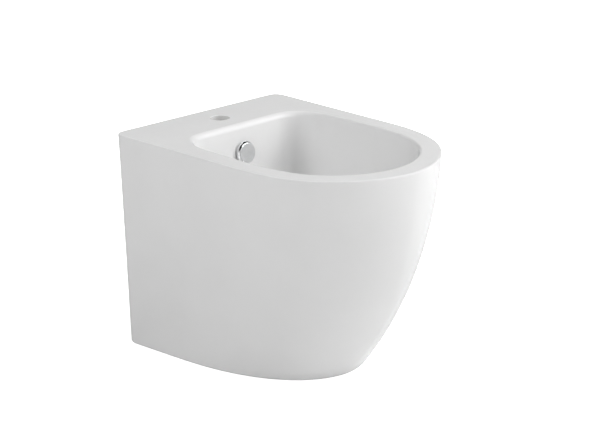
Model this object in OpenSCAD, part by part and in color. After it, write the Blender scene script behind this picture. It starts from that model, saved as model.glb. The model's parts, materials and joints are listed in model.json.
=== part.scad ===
// Back-to-wall bidet: glazed china body with overflow, push-open waste, bottle trap and floor brackets.
// Millimetres. The origin is on the floor, midway between the sides and midway from front to back.
// +Y points to the wall, +X to the right of someone who faces the wall, and +Z up.

/* [China body] */
// Width across the flat back
body_w = 380; // [350:1:420]
// Depth from the wall to the front of the rim
body_d = 500; // [470:1:560]
// Height of the rim above the floor
body_h = 380; // [365:1:420]
// Thickness of the outer walls
wall_t = 11; // [9:0.5:14]
// Thickness of the foot where it meets the floor
foot_t = 16; // [12:0.5:20]
// Thickness of the tap deck and rim
deck_t = 15; // [12:0.5:20]
// Radius of the rim's outer edge
edge_r = 3; // [1:0.5:5]
// Radius of the foot's lower edge
foot_r = 5; // [2:0.5:8]
// Radius of the upright back corners
corner_r = 19; // [14:1:26]
// Width of the foot across the back
foot_w = 361; // [340:1:376]
// Distance of the foot's front from the wall
foot_d = 367; // [330:1:400]
// Distance from the wall at which the rim's sides start to curve in
rim_side_d = 270; // [240:1:300]
// Distance from the wall at which the foot's sides start to curve in
foot_side_d = 94; // [80:1:160]
// How far the rim's sides lean in for each millimetre away from the wall
rim_taper = 0.025; // [0:0.001:0.06]
// How far the foot's sides lean in for each millimetre away from the wall
foot_taper = 0.116; // [0.06:0.001:0.16]
// Height of the china left above the opening in the back
back_beam_h = 80; // [60:1:110]

/* [Basin] */
// Height of the waste's seat above the floor
seat_h = 240; // [234:1:252]
// Width of the basin opening
basin_w = 290; // [270:1:300]
// Distance of the basin opening from the wall, which is the depth of the tap deck
deck_d = 111; // [104:1:120]
// Width of the rim at the front
front_rim = 39; // [32:1:50]
// Thickness of the basin wall
basin_t = 11; // [9:0.5:13]
// Radius of the basin's lip
lip_r = 5; // [3:0.5:7]
// Reach of the basin's back corners across the width
basin_corner_x = 64; // [50:1:80]
// Reach of the basin's back corners from back to front
basin_corner_y = 89; // [70:1:100]
// Fall of the basin floor towards the waste
basin_fall = 13; // [8:1:20]
// Share by which the basin walls draw in towards the floor
basin_draft = 0.12; // [0.08:0.01:0.16]
// Length over which the opening's sides run nearly straight from its back edge
opening_side_run = 162; // [130:1:190]

/* [Tap hole and overflow] */
// Diameter of the tap hole
tap_hole_d = 33; // [31:0.5:36]
// Distance of the tap hole from the wall
tap_to_wall = 55; // [52:1:58]
// Depth of the overflow's centre below the rim
overflow_drop = 50; // [44:1:52]
// Diameter of the overflow hole
overflow_hole_d = 23; // [21:0.5:25]
// Diameter of the overflow cap
cap_d = 41; // [34:0.5:43]
// Height of the cap's side band
cap_h = 6.8; // [4:0.1:8]
// Gap that the water runs through, behind the cap
cap_gap = 1.6; // [1:0.1:3]

/* [Waste] */
// Distance of the waste from the wall
waste_to_wall = 240; // [225:1:255]
// Diameter of the waste hole in the china
waste_hole_d = 46; // [45:0.5:50]
// Height of the china boss around the waste hole
boss_h = 40; // [36:1:44]
// Diameter of the waste flange
flange_d = 63; // [60:0.5:66]
// Outside diameter of the waste thread
waste_thread_d = 41.8; // [40:0.1:43]
// Inside diameter of the waste throat
throat_d = 35; // [33:0.5:36.5]
// Length of the waste body under its flange
waste_len = 79; // [76:1:86]
// Travel of the cover from closed to open
cover_travel = 8; // [5:0.5:9]

/* [Trap] */
// Height of the outlet pipe's centre above the floor
outlet_h = 108; // [100:1:116]
// Outside diameter of the pipes
pipe_d = 32; // [31:0.5:33]
// Wall thickness of the pipes
pipe_t = 1.5; // [1:0.1:2]
// Outside diameter of the trap's head
head_d = 67; // [62:1:72]
// Depth of standing water that seals the trap
water_seal = 50; // [45:1:55]

/* [Floor brackets] */
// Distance of the brackets from the wall
bracket_to_wall = 46; // [44:1:56]
// Distance of the floor screw hole from the bracket's upright
floor_hole_reach = 25; // [20:1:30]
// Width of a bracket
bracket_w = 30; // [24:1:34]
// Height of a bracket
bracket_h = 52; // [46:1:60]
// Thickness of the bracket steel
bracket_t = 3; // [2:0.5:4]
// Diameter of a floor screw hole
floor_hole_d = 8.4; // [6:0.2:10]
// Diameter of a bracket screw
bracket_screw_d = 6; // [5:0.5:7]

/* [Hidden] */

$fn = 72;

// Clearance between parts that are screwed or pressed together
fit = 0.05;
// Clearance between parts that move past each other
run = 0.3;
// Clearance of a pipe or screw in a plain hole
slack = 0.15;
// Amount by which a seal or gasket stays inside the edge of what presses on it
seal_inset = 0.3;
// Extra length that takes a cut clear of a face, or one shape into the next
over = 1;

// Steps of each stretch of an outline: half the back, a corner, a side and half the front
back_steps = 3;
corner_steps = 5;
side_steps = 4;
front_steps = 12;
// Steps of the walls from rim to foot, of the basin from lip to waste, and of a rounded edge
wall_steps = 9;
basin_steps = 9;
round_steps = 3;

// Powers of the curves: rim sides, rim front, foot sides, foot front
rim_side_power = 1.75;
rim_front_power = 2.79;
foot_side_power = 1.96;
foot_front_power = 2.84;
// How the width, the front, the sides' lean and the curves change from rim to foot
width_power = 0.83;
front_power = 2.19;
lean_power = 1.4;
curve_power = 2;
// Powers of the basin opening's sides, front and corners, and of its upright section
opening_side_power = 1.9;
opening_front_power = 2.7;
opening_corner_power = 2.5;
section_power = 4;
// Power of a round corner
round_power = 2;

back_y = body_d / 2;
waste_y = back_y - waste_to_wall;
tap_y = back_y - tap_to_wall;
seat_z = seat_h;
basin_depth = body_h - seat_h;
boss_z = seat_z - boss_h;

// Flat seat around the waste hole, and the china boss under it
seat_margin = 5;
boss_wall = 17;
core_margin = 8;
seat_r = flange_d / 2 + seat_margin;
boss_r = waste_hole_d / 2 + boss_wall;
core_r = waste_hole_d / 2 - core_margin;

// Basin opening
opening_back_y = back_y - deck_d;
opening_front_y = front_rim - body_d / 2;
opening_side_y = opening_back_y - opening_side_run;
side_depth = basin_depth - basin_fall;

// Opening in the back for pipes and hoses
back_opening_h = body_h - back_beam_h;
back_opening_r = 30;
// Least radius of an outline's corner
least_corner_r = 6;

function mix(a, b, t) = a + (b - a) * t;

function drop_at(z) = (body_h - z) / body_h;

// Half of a D-shaped outline, from the middle of the back round to the middle of the front. The sides lean
// in along their whole length, and the front's rounding is laid over that lean.
function half_outline(half_w, taper, side_y, y1, y0, power_x, power_y, rx, ry, corner_power) =
  let (
    corner_x = half_w - taper * ry
  )
  concat(
    [for (i = [0 : back_steps - 1]) [(corner_x - rx) * i / back_steps, y1]],
    [for (i = [0 : corner_steps])
      let (a = 90 * i / corner_steps)
      [corner_x - rx + rx * pow(sin(a), 2 / corner_power), y1 - ry + ry * pow(cos(a), 2 / corner_power)]],
    [for (i = [1 : side_steps])
      let (y = mix(y1 - ry, side_y, i / side_steps))
      [half_w - taper * (y1 - y), y]],
    [for (i = [1 : front_steps])
      let (a = 90 * i / front_steps, y = side_y - (side_y - y0) * pow(sin(a), 2 / power_y))
      [(half_w - taper * (y1 - y)) * pow(cos(a), 2 / power_x), y]]
  );

// Whole outline from its half, which starts and ends on the middle line
function mirrored(half) = concat(half, [for (i = [len(half) - 2 : -1 : 1]) [-half[i][0], half[i][1]]]);

function at_height(outline, z) = [for (p = outline) [p[0], p[1], z]];

// Outline of the outside at height z, drawn in by inset
function outside(z, inset) =
  let (
    t = min(max(drop_at(z), 0), 1),
    lean = pow(t, lean_power),
    curve = pow(t, curve_power)
  )
  at_height(mirrored(half_outline(
    mix(body_w, foot_w, pow(t, width_power)) / 2 - inset,
    mix(rim_taper, foot_taper, lean),
    back_y - mix(rim_side_d, foot_side_d, lean),
    back_y - inset,
    back_y - mix(body_d, foot_d, pow(t, front_power)) + inset,
    mix(rim_side_power, foot_side_power, curve),
    mix(rim_front_power, foot_front_power, curve),
    max(corner_r - inset, least_corner_r),
    max(corner_r - inset, least_corner_r),
    round_power
  )), z);

// Outline of the basin opening, grown by a distance
function opening(grow) = mirrored(half_outline(
  basin_w / 2 + grow, 0, opening_side_y, opening_back_y + grow, opening_front_y - grow,
  opening_side_power, opening_front_power, basin_corner_x + grow, basin_corner_y + grow, opening_corner_power
));

// Circle around the waste with one point towards each point of an outline
function circle_towards(outline, r, z) = [
  for (p = outline)
    let (dx = p[0], dy = p[1] - waste_y, far = norm([dx, dy]))
    [r * dx / far, waste_y + r * dy / far, z]
];

// One ring of the basin, or of its underside. s is the depth as a share, 0 at the rim and 1 at the floor.
function bowl_ring(outline, r, depth, s, s_top) =
  let (
    rho = pow(max(1 - pow(s, section_power), 0), 1 / section_power) * (1 - basin_draft * (s - s_top)),
    z = body_h - depth * s - basin_fall * (1 - rho)
  )
  [for (p = outline)
    let (dx = p[0], dy = p[1] - waste_y, far = norm([dx, dy]))
    [mix(r * dx / far, dx, rho), waste_y + mix(r * dy / far, dy, rho), z]];

// Shares of depth from s_top to the floor, closer together where the section turns
function bowl_shares(s_top) =
  let (start = asin(pow(s_top, section_power / 2)))
  [for (i = [0 : basin_steps]) pow(sin(mix(start, 90, i / basin_steps)), 2 / section_power)];

lip_share = lip_r / side_depth;
deck_share = deck_t / (side_depth + basin_t);

core_rings = [
  circle_towards(opening(0), core_r, boss_z),
  circle_towards(opening(0), core_r, seat_z)
];
basin_rings = [
  for (i = [basin_steps : -1 : 0])
    bowl_ring(opening(0), seat_r, side_depth, bowl_shares(lip_share)[i], lip_share)
];
lip_rings = [
  for (i = [1 : round_steps])
    let (a = 90 * i / round_steps)
    at_height(opening(lip_r * (1 - cos(a))), body_h - lip_r * (1 - sin(a)))
];
edge_rings = [
  for (i = [0 : round_steps])
    let (a = 90 * i / round_steps)
    outside(body_h - edge_r * (1 - cos(a)), edge_r * (1 - sin(a)))
];
wall_rings = [
  for (i = [1 : wall_steps])
    outside(mix(body_h - edge_r, foot_r, i / wall_steps), 0)
];
foot_rings = [
  for (i = [1 : round_steps])
    let (a = 90 * i / round_steps)
    outside(foot_r * (1 - sin(a)), foot_r * (1 - cos(a)))
];
inner_rings = concat(
  [outside(0, foot_t)],
  [for (i = [1 : wall_steps]) outside(mix(2 * foot_t, body_h - deck_t, i / wall_steps), wall_t)]
);
underside_rings = [
  for (s = bowl_shares(deck_share))
    bowl_ring(opening(basin_t), boss_r, side_depth + basin_t, s, deck_share)
];
boss_rings = [circle_towards(opening(0), boss_r, boss_z)];

// Closed skin through rings of equal length, joined ring to ring and the last ring to the first
module loft(rings) {
  count = len(rings[0]);
  total = len(rings);
  polyhedron(
    points = [for (ring = rings) for (p = ring) p],
    faces = [
      for (j = [0 : total - 1])
        for (i = [0 : count - 1])
          let (k = (i + 1) % count, l = (j + 1) % total)
          [j * count + i, l * count + i, l * count + k, j * count + k]
    ],
    convexity = 10
  );
}

// Round bar with a round hole along it
module tube(outer, inner, h) {
  difference() {
    cylinder(r = outer, h = h);
    translate([0, 0, -over]) cylinder(r = inner, h = h + 2 * over);
  }
}

// Sets children on the waste's axis, with z counted from the floor
module on_waste() {
  translate([0, waste_y, 0]) children();
}

// Distance of the basin's back wall from the waste at a share of the depth
function back_wall(s) =
  let (rho = pow(1 - pow(s, section_power), 1 / section_power) * (1 - basin_draft * (s - lip_share)))
  mix(seat_r, opening_back_y - waste_y, rho);

// Place and lean of the basin's back wall at the overflow's centre
overflow_share = overflow_drop / side_depth;
overflow_y = waste_y + back_wall(overflow_share);
overflow_z = body_h - overflow_drop;
lean_step = 0.05;
overflow_lean = atan(
  (back_wall(overflow_share - lean_step) - back_wall(overflow_share + lean_step))
  / (2 * lean_step * side_depth)
);

// Sets children on the overflow's axis, with z counted from the basin wall into the basin
module on_overflow() {
  translate([0, overflow_y, overflow_z]) rotate([90 - overflow_lean, 0, 0]) children();
}

hole_reach = basin_t + 6;

// Overflow channel behind the basin wall, and the run from its foot to the waste
channel_w = 24;
channel_gap = 14;
channel_wall = 7;
channel_margin = 2;
run_h = 14;
run_lift = 11;
channel_front_y = overflow_y + basin_t + channel_margin;
channel_back_y = channel_front_y + channel_gap;
channel_top_z = overflow_z + overflow_hole_d / 2 + channel_margin;
channel_foot_z = boss_z + run_lift;

module channel_wall_shape() {
  translate([-channel_w / 2 - channel_wall, channel_front_y - channel_wall, channel_foot_z - channel_wall])
    cube([channel_w + 2 * channel_wall, channel_gap + 2 * channel_wall,
      channel_top_z - channel_foot_z + 2 * channel_wall]);
  translate([-run_h / 2 - channel_wall, waste_y + core_r, channel_foot_z - channel_wall])
    cube([run_h + 2 * channel_wall, channel_back_y - waste_y - core_r, run_h + 2 * channel_wall]);
}

module channel_space() {
  translate([-channel_w / 2, channel_front_y, channel_foot_z])
    cube([channel_w, channel_gap, channel_top_z - channel_foot_z]);
  translate([-run_h / 2, waste_y, channel_foot_z])
    cube([run_h, channel_back_y - waste_y - over, run_h]);
}

// China lugs that the floor brackets are screwed to
lug_reach = 11;
lug_margin = 6;
lug_skin = 2.5;
lug_w = bracket_w + 2 * lug_margin;
lug_h = 34;
screw_drop = 12;
lug_screw_offset = 4;
screw_z = bracket_h - screw_drop;
lug_z = screw_z - lug_h / 2 + lug_screw_offset;
bracket_y = back_y - bracket_to_wall;
lug_x = foot_w / 2 - foot_taper * (bracket_to_wall + lug_w / 2) - wall_t - lug_reach;
lug_depth = lug_reach + wall_t - lug_skin;
bush_wall = 2.5;
bush_r = bracket_screw_d / 2 + bush_wall;
bush_len = 12;
bush_end = 1;

module each_side() {
  children();
  mirror([1, 0, 0]) children();
}

// Sets children on the right bracket's screw, with z counted outwards from the lug's face
module on_lug() {
  translate([lug_x, bracket_y, screw_z]) rotate([0, 90, 0]) children();
}

module back_opening() {
  half = lug_x - channel_margin;
  straight = back_opening_h - back_opening_r;
  depth = wall_t + foot_t;
  translate([0, back_y + over, 0]) rotate([90, 0, 0]) {
    translate([-half, -over, 0]) cube([2 * half, straight + over, depth]);
    translate([back_opening_r - half, 0, 0]) cube([2 * (half - back_opening_r), back_opening_h, depth]);
    for (x = [back_opening_r - half, half - back_opening_r])
      translate([x, straight, 0]) cylinder(r = back_opening_r, h = depth);
  }
}

module ceramic_body() {
  color("#ECECEC")
  difference() {
    union() {
      loft(concat(core_rings, basin_rings, lip_rings, edge_rings, wall_rings, foot_rings, inner_rings,
        underside_rings, boss_rings));
      channel_wall_shape();
      each_side()
        translate([lug_x, bracket_y - lug_w / 2, lug_z]) cube([lug_depth, lug_w, lug_h]);
    }
    translate([0, tap_y, body_h - deck_t - over]) cylinder(d = tap_hole_d, h = deck_t + 2 * over);
    on_waste() translate([0, 0, boss_z - over]) cylinder(d = waste_hole_d, h = boss_h + 2 * over);
    on_overflow() translate([0, 0, -hole_reach]) cylinder(d = overflow_hole_d, h = 2 * hole_reach);
    channel_space();
    back_opening();
    each_side()
      on_lug() translate([0, 0, -over]) cylinder(r = bush_r + fit, h = bush_len + bush_end + over);
  }
}

// Waste: levels from the seat down
waste_gasket_t = 2;
flange_t = 2.5;
flange_z = seat_z + waste_gasket_t;
flange_top_z = flange_z + flange_t;
waste_end_z = flange_z - waste_len;
thread_r = waste_thread_d / 2;
throat_r = throat_d / 2;
lower_gasket_h = 7;
washer_t = 1.5;
back_nut_h = 10;
gasket_reach = 8;
gasket_taper_h = 3;
washer_reach = 9;
nut_reach = 11;
bar_w = 6;
bar_h = 6;
bar_lift = 22;
bar_z = waste_end_z + bar_lift;
hub_wall = 3;
slot_w = 12;

module waste_body() {
  chamfer = 2;
  bevel = 1.2;
  color("#C9CCD0")
  on_waste()
  difference() {
    union() {
      rotate_extrude() polygon([
        [throat_r, waste_end_z], [thread_r, waste_end_z], [thread_r, flange_z], [flange_d / 2, flange_z],
        [flange_d / 2, flange_top_z - bevel], [flange_d / 2 - bevel, flange_top_z],
        [throat_r + chamfer, flange_top_z], [throat_r, flange_top_z - chamfer]
      ]);
      translate([-throat_r - over, -bar_w / 2, bar_z]) cube([2 * (throat_r + over), bar_w, bar_h]);
      translate([0, 0, bar_z]) cylinder(r = stud_r + hub_wall, h = bar_h);
    }
    translate([0, 0, bar_z - over]) cylinder(r = stud_r + fit, h = bar_h + 2 * over);
    for (turn = [0, 90])
      rotate([0, 0, turn])
        for (side = [-1, 1])
          translate([side * (throat_r + thread_r) / 2 - slot_w / 4, -slot_w / 2, channel_foot_z])
            cube([slot_w / 2, slot_w, run_h]);
  }
}

module waste_top_gasket() {
  color("#3A3A3C")
  on_waste() translate([0, 0, seat_z])
    tube(flange_d / 2 - seal_inset, waste_hole_d / 2 + over, waste_gasket_t);
}

module waste_lower_gasket() {
  color("#3A3A3C")
  on_waste()
  rotate_extrude() polygon([
    [thread_r + fit, boss_z - lower_gasket_h], [thread_r + gasket_reach, boss_z - lower_gasket_h],
    [thread_r + gasket_reach, boss_z - gasket_taper_h], [waste_hole_d / 2 + gasket_taper_h, boss_z],
    [thread_r + fit, boss_z]
  ]);
}

module waste_slip_washer() {
  color("#E4E4E2")
  on_waste() translate([0, 0, boss_z - lower_gasket_h - washer_t])
    tube(thread_r + washer_reach, thread_r + fit, washer_t);
}

module waste_back_nut() {
  color("#C8A45C")
  on_waste() translate([0, 0, boss_z - lower_gasket_h - washer_t - back_nut_h]) difference() {
    cylinder(r = thread_r + nut_reach, h = back_nut_h, $fn = 6);
    translate([0, 0, -over]) cylinder(r = thread_r + fit, h = back_nut_h + 2 * over);
  }
}

// Push-push latch: levels from the cross bar up
stud_r = 4;
stud_tail = 3;
barrel_r = 7.5;
barrel_wall = 1.5;
barrel_z = bar_z + bar_h;
barrel_floor = 2;
stem_r = 3;
piston_r = 5.6;
piston_h = 3;
spring_room = 10;
piston_z = barrel_z + barrel_floor + spring_room;
barrel_h = 2 * barrel_floor + spring_room + piston_h + cover_travel + run;

module latch_housing() {
  color("#F2F2F0")
  on_waste() {
    translate([0, 0, bar_z - stud_tail]) cylinder(r = stud_r, h = bar_h + stud_tail);
    translate([0, 0, barrel_z]) difference() {
      cylinder(r = barrel_r, h = barrel_h);
      translate([0, 0, barrel_floor])
        cylinder(r = barrel_r - barrel_wall, h = barrel_h - 2 * barrel_floor);
      translate([0, 0, barrel_floor]) cylinder(r = stem_r + run, h = barrel_h);
    }
  }
}

// Helical spring under the piston, one unbroken wire with flat ends
spring_r = 4.4;
wire_r = 0.45;
spring_turns = 5;
wire_sides = 8;
turn_steps = 24;
spring_gap = 0.2;

function spring_point(t, a) =
  let (
    turn = 360 * spring_turns * t,
    rise = mix(spring_gap + wire_r, spring_room - spring_gap - wire_r, t),
    r = spring_r + wire_r * cos(a)
  )
  [r * cos(turn), r * sin(turn), rise + wire_r * sin(a)];

module latch_spring() {
  total = spring_turns * turn_steps;
  color("#B8BCC0")
  on_waste() translate([0, 0, barrel_z + barrel_floor])
  polyhedron(
    points = [for (j = [0 : total]) for (i = [0 : wire_sides - 1])
      spring_point(j / total, 360 * i / wire_sides)],
    faces = concat(
      [[for (i = [0 : wire_sides - 1]) i]],
      [for (j = [0 : total - 1])
        for (i = [0 : wire_sides - 1])
          let (k = (i + 1) % wire_sides)
          [(j + 1) * wire_sides + i, (j + 1) * wire_sides + k, j * wire_sides + k, j * wire_sides + i]],
      [[for (i = [wire_sides - 1 : -1 : 0]) total * wire_sides + i]]
    ),
    convexity = 10
  );
}

// Cover that closes the waste, shown closed
seal_t = 2.5;
seal_z = flange_top_z + run;
cover_z = seal_z + seal_t;
cover_r = flange_d / 2 - 0.5;
cover_t = 1.2;
cover_dome = 3.2;
cover_skirt = 1.8;
skirt_w = 3.5;
seal_reach = 5.5;
seal_lap = 3.5;
stem_thread_r = 2;
stem_thread_h = 2;
dome_steps = 8;

module waste_cover() {
  bevel = 1;
  color("#D4D7DA")
  on_waste()
  difference() {
    rotate_extrude() polygon(concat(
      [[0, cover_z], [cover_r - skirt_w - bevel, cover_z], [cover_r - skirt_w, cover_z - cover_skirt],
        [cover_r - bevel, cover_z - cover_skirt], [cover_r, cover_z - cover_skirt + bevel]],
      [for (i = [0 : dome_steps])
        let (r = cover_r * cos(90 * i / dome_steps))
        [r, cover_z + cover_t + cover_dome * (1 - pow(r / cover_r, 2))]]
    ));
    translate([0, 0, cover_z - over]) cylinder(r = stem_thread_r + fit, h = stem_thread_h + over);
  }
}

module cover_seal() {
  color("#3A3A3C")
  on_waste() translate([0, 0, seal_z]) tube(throat_r + seal_reach, throat_r - seal_lap, seal_t);
}

module cover_stem() {
  color("#C8A45C")
  on_waste() {
    translate([0, 0, cover_z - over]) cylinder(r = stem_thread_r, h = stem_thread_h + over);
    translate([0, 0, piston_z]) cylinder(r = stem_r, h = cover_z - piston_z);
    translate([0, 0, piston_z]) cylinder(r = piston_r, h = piston_h);
  }
}

// Overflow: a sleeve in the china hole, and a cap whose stem is pushed into the sleeve's hub
hole_r = overflow_hole_d / 2;
overflow_seat = 0.7;
overflow_gasket_t = 1;
sleeve_flange_t = 1;
sleeve_wall = 1.5;
sleeve_len = 9;
hub_r = 4.5;
hub_h = 4;
hub_z = -7;
spoke_w = 1.6;
cap_stem_r = 2;
overflow_lap = 3.5;

module overflow_gasket() {
  color("#F2F2F0")
  on_overflow() translate([0, 0, overflow_seat]) tube(hole_r + overflow_lap, hole_r, overflow_gasket_t);
}

module overflow_sleeve() {
  flange_at = overflow_seat + overflow_gasket_t;
  color("#F2F2F0")
  on_overflow() {
    difference() {
      union() {
        translate([0, 0, -sleeve_len])
          cylinder(r = hole_r - slack, h = sleeve_len + flange_at + sleeve_flange_t);
        translate([0, 0, flange_at]) cylinder(r = hole_r + overflow_lap, h = sleeve_flange_t);
      }
      translate([0, 0, -sleeve_len - over])
        cylinder(r = hole_r - sleeve_wall, h = sleeve_len + flange_at + sleeve_flange_t + 2 * over);
    }
    translate([0, 0, hub_z]) difference() {
      union() {
        cylinder(r = hub_r, h = hub_h);
        for (turn = [90, 210, 330])
          rotate([0, 0, turn]) translate([0, -spoke_w / 2, 0])
            cube([hole_r - sleeve_wall / 2, spoke_w, hub_h]);
      }
      translate([0, 0, -over]) cylinder(r = cap_stem_r + fit, h = hub_h + 2 * over);
    }
  }
}

module overflow_cap() {
  r = cap_d / 2;
  top = cap_gap + cap_h;
  face_t = 1.4;
  band_t = 1.2;
  bevel = 0.8;
  color("#D4D7DA")
  on_overflow()
  rotate_extrude() polygon([
    [0, hub_z - over], [cap_stem_r, hub_z - over], [cap_stem_r, top - face_t], [r - band_t, top - face_t],
    [r - band_t, cap_gap], [r, cap_gap], [r, top - bevel], [r - bevel, top], [0, top]
  ]);
}

// Trap: levels from the waste's end down to the cup
pipe_r = pipe_d / 2;
bore_r = pipe_r - pipe_t;
flat_seal_t = 2;
collar_t = 2.5;
lip_t = 3;
inlet_grip = 13;
outlet_grip = 10;
collar_z = waste_end_z - flat_seal_t - collar_t;
head_r = head_d / 2;
head_wall = 3;
head_skirt = 10;
socket_wall = 3;
socket_r = pipe_r + socket_wall;
socket_len = 17;
socket_end = head_r + socket_len;
head_z = outlet_h - socket_r - head_skirt;
head_top_z = outlet_h + socket_r + head_wall;
neck_wall = 5.5;
neck_r = pipe_r + neck_wall;
neck_h = 12;
cone_seal_t = 3;
nut_wall = 5;
rib_r = 1.4;
rib_inset = 0.8;
nut_gap = 2;
dip_end_z = outlet_h - bore_r - water_seal;
cup_room = 18;
cup_floor_z = dip_end_z - cup_room;

// Nut with grip ribs, its open end up and its lip down, round a pipe
module grip_nut(thread, h) {
  ribs = 16;
  difference() {
    union() {
      cylinder(r = thread + nut_wall - rib_r / 2, h = h);
      for (i = [0 : ribs - 1])
        rotate([0, 0, 360 * i / ribs]) translate([thread + nut_wall - rib_r, 0, rib_inset])
          cylinder(r = rib_r, h = h - 2 * rib_inset);
    }
    translate([0, 0, -over]) cylinder(r = pipe_r + slack, h = h);
    translate([0, 0, lip_t]) cylinder(r = thread + fit, h = h);
  }
}

module trap_inlet_nut() {
  color("#F2F2F0")
  on_waste() translate([0, 0, collar_z - lip_t])
    grip_nut(thread_r, lip_t + collar_t + flat_seal_t + inlet_grip);
}

module trap_inlet_seal() {
  color("#3A3A3C")
  on_waste() translate([0, 0, waste_end_z - flat_seal_t]) tube(thread_r - seal_inset, bore_r, flat_seal_t);
}

module trap_dip_tube() {
  color("#F2F2F0")
  on_waste() difference() {
    union() {
      translate([0, 0, dip_end_z]) cylinder(r = pipe_r, h = collar_z + collar_t - dip_end_z);
      translate([0, 0, collar_z]) cylinder(r = thread_r - seal_inset, h = collar_t);
    }
    translate([0, 0, dip_end_z - over]) cylinder(r = bore_r, h = collar_z + collar_t - dip_end_z + 2 * over);
  }
}

module trap_head_seal() {
  color("#3A3A3C")
  on_waste() translate([0, 0, head_top_z + neck_h]) tube(neck_r - seal_inset, pipe_r + fit, cone_seal_t);
}

module trap_head_nut() {
  h = lip_t + cone_seal_t + neck_h - nut_gap;
  color("#F2F2F0")
  on_waste() translate([0, 0, head_top_z + nut_gap + h]) mirror([0, 0, 1]) grip_nut(neck_r, h);
}

// Sets children on the outlet's axis, with z counted from the waste's axis towards the wall
module on_outlet() {
  translate([0, waste_y, outlet_h]) rotate([-90, 0, 0]) children();
}

module trap_head() {
  color("#F2F2F0")
  difference() {
    union() {
      on_waste() translate([0, 0, head_z]) cylinder(r = head_r, h = head_top_z - head_z);
      on_waste() translate([0, 0, head_top_z - over]) cylinder(r = neck_r, h = neck_h + over);
      on_outlet() cylinder(r = socket_r, h = socket_end);
    }
    on_waste() translate([0, 0, head_z - over])
      cylinder(r = head_r - head_wall, h = head_top_z - head_z - head_wall + over);
    on_waste() translate([0, 0, head_z])
      cylinder(r = pipe_r + slack, h = head_top_z + neck_h + over - head_z);
    on_outlet() cylinder(r = pipe_r + slack, h = socket_end + over);
  }
}

module outlet_seal() {
  color("#3A3A3C")
  on_outlet() translate([0, 0, socket_end]) tube(socket_r - seal_inset, pipe_r + fit, cone_seal_t);
}

module outlet_nut() {
  h = lip_t + cone_seal_t + outlet_grip;
  color("#F2F2F0")
  on_outlet() translate([0, 0, socket_end + cone_seal_t + lip_t]) mirror([0, 0, 1]) grip_nut(socket_r, h);
}

module outlet_pipe() {
  start = head_r + 2;
  bead_t = 2;
  bead_at = socket_end + cone_seal_t + lip_t + bead_t + over;
  end = back_y - waste_y;
  color("#F2F2F0")
  on_outlet() difference() {
    union() {
      translate([0, 0, start]) cylinder(r = pipe_r, h = end - start);
      translate([0, 0, bead_at]) cylinder(r = pipe_r + bead_t, h = bead_t);
    }
    translate([0, 0, start - over]) cylinder(r = bore_r, h = end - start + 2 * over);
  }
}

// Cup: a screwed neck inside the head, a ribbed collar and a rounded bottom
cup_seal_t = 2;
cup_collar_h = 8;
cup_wall = 2.5;
cup_slack = 0.1;
cup_ribs = 18;
cup_rib_r = 1.6;

module trap_cup() {
  neck = head_r - head_wall - cup_slack;
  top = head_z - cup_seal_t;
  neck_top = outlet_h - pipe_r - 2 * over;
  round_r = 16;
  round_cup_steps = 8;
  color("#F2F2F0")
  on_waste() {
    rotate_extrude() polygon(concat(
      [[0, cup_floor_z - cup_wall], [neck - round_r, cup_floor_z - cup_wall]],
      [for (i = [1 : round_cup_steps])
        let (a = 90 * i / round_cup_steps)
        [neck - round_r + round_r * sin(a), cup_floor_z - cup_wall + round_r * (1 - cos(a))]],
      [[neck, top - cup_collar_h], [head_r - over, top - cup_collar_h], [head_r - over, top], [neck, top],
        [neck, neck_top], [neck - cup_wall, neck_top]],
      [for (i = [round_cup_steps : -1 : 1])
        let (a = 90 * i / round_cup_steps, inner_r = round_r - cup_wall)
        [neck - round_r + inner_r * sin(a), cup_floor_z + inner_r * (1 - cos(a))]],
      [[0, cup_floor_z]]
    ));
    for (i = [0 : cup_ribs - 1])
      rotate([0, 0, 360 * i / cup_ribs]) translate([head_r - over, 0, top - cup_collar_h + rib_inset])
        cylinder(r = cup_rib_r, h = cup_collar_h - 2 * rib_inset);
  }
}

module trap_cup_seal() {
  color("#3A3A3C")
  on_waste() translate([0, 0, head_z - cup_seal_t]) tube(head_r - seal_inset, head_r - head_wall, cup_seal_t);
}

// Floor brackets: an angle of flat steel on each side
foot_margin = 18;
bracket_foot = floor_hole_reach + foot_margin;
washer_r = bracket_screw_d + 2;
screw_head_r = bracket_screw_d - 0.5;
screw_head_h = 4;
screw_short = 1;

module floor_brackets() {
  color("#B8BCC0")
  each_side() difference() {
    union() {
      translate([lug_x - bracket_foot, bracket_y - bracket_w / 2, 0])
        cube([bracket_foot, bracket_w, bracket_t]);
      translate([lug_x - bracket_t, bracket_y - bracket_w / 2, 0]) cube([bracket_t, bracket_w, bracket_h]);
    }
    translate([lug_x - floor_hole_reach, bracket_y, -over])
      cylinder(d = floor_hole_d, h = bracket_t + 2 * over);
    on_lug() translate([0, 0, -bracket_t - over])
      cylinder(r = bracket_screw_d / 2 + slack, h = bracket_t + 2 * over);
  }
}

module bracket_washers() {
  color("#B8BCC0")
  each_side() on_lug() translate([0, 0, -bracket_t - washer_t])
    tube(washer_r, bracket_screw_d / 2 + slack, washer_t);
}

module bracket_screws() {
  color("#B8BCC0")
  each_side() on_lug() {
    translate([0, 0, -bracket_t - washer_t - screw_head_h])
      cylinder(r = screw_head_r, h = screw_head_h, $fn = 6);
    translate([0, 0, -bracket_t - washer_t - over])
      cylinder(d = bracket_screw_d, h = bracket_t + washer_t + bush_len - screw_short + over);
  }
}

module bracket_bushes() {
  color("#5A5C60")
  each_side() on_lug() difference() {
    cylinder(r = bush_r, h = bush_len);
    translate([0, 0, -over]) cylinder(r = bracket_screw_d / 2 + fit, h = bush_len + over - screw_short / 2);
  }
}

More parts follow.
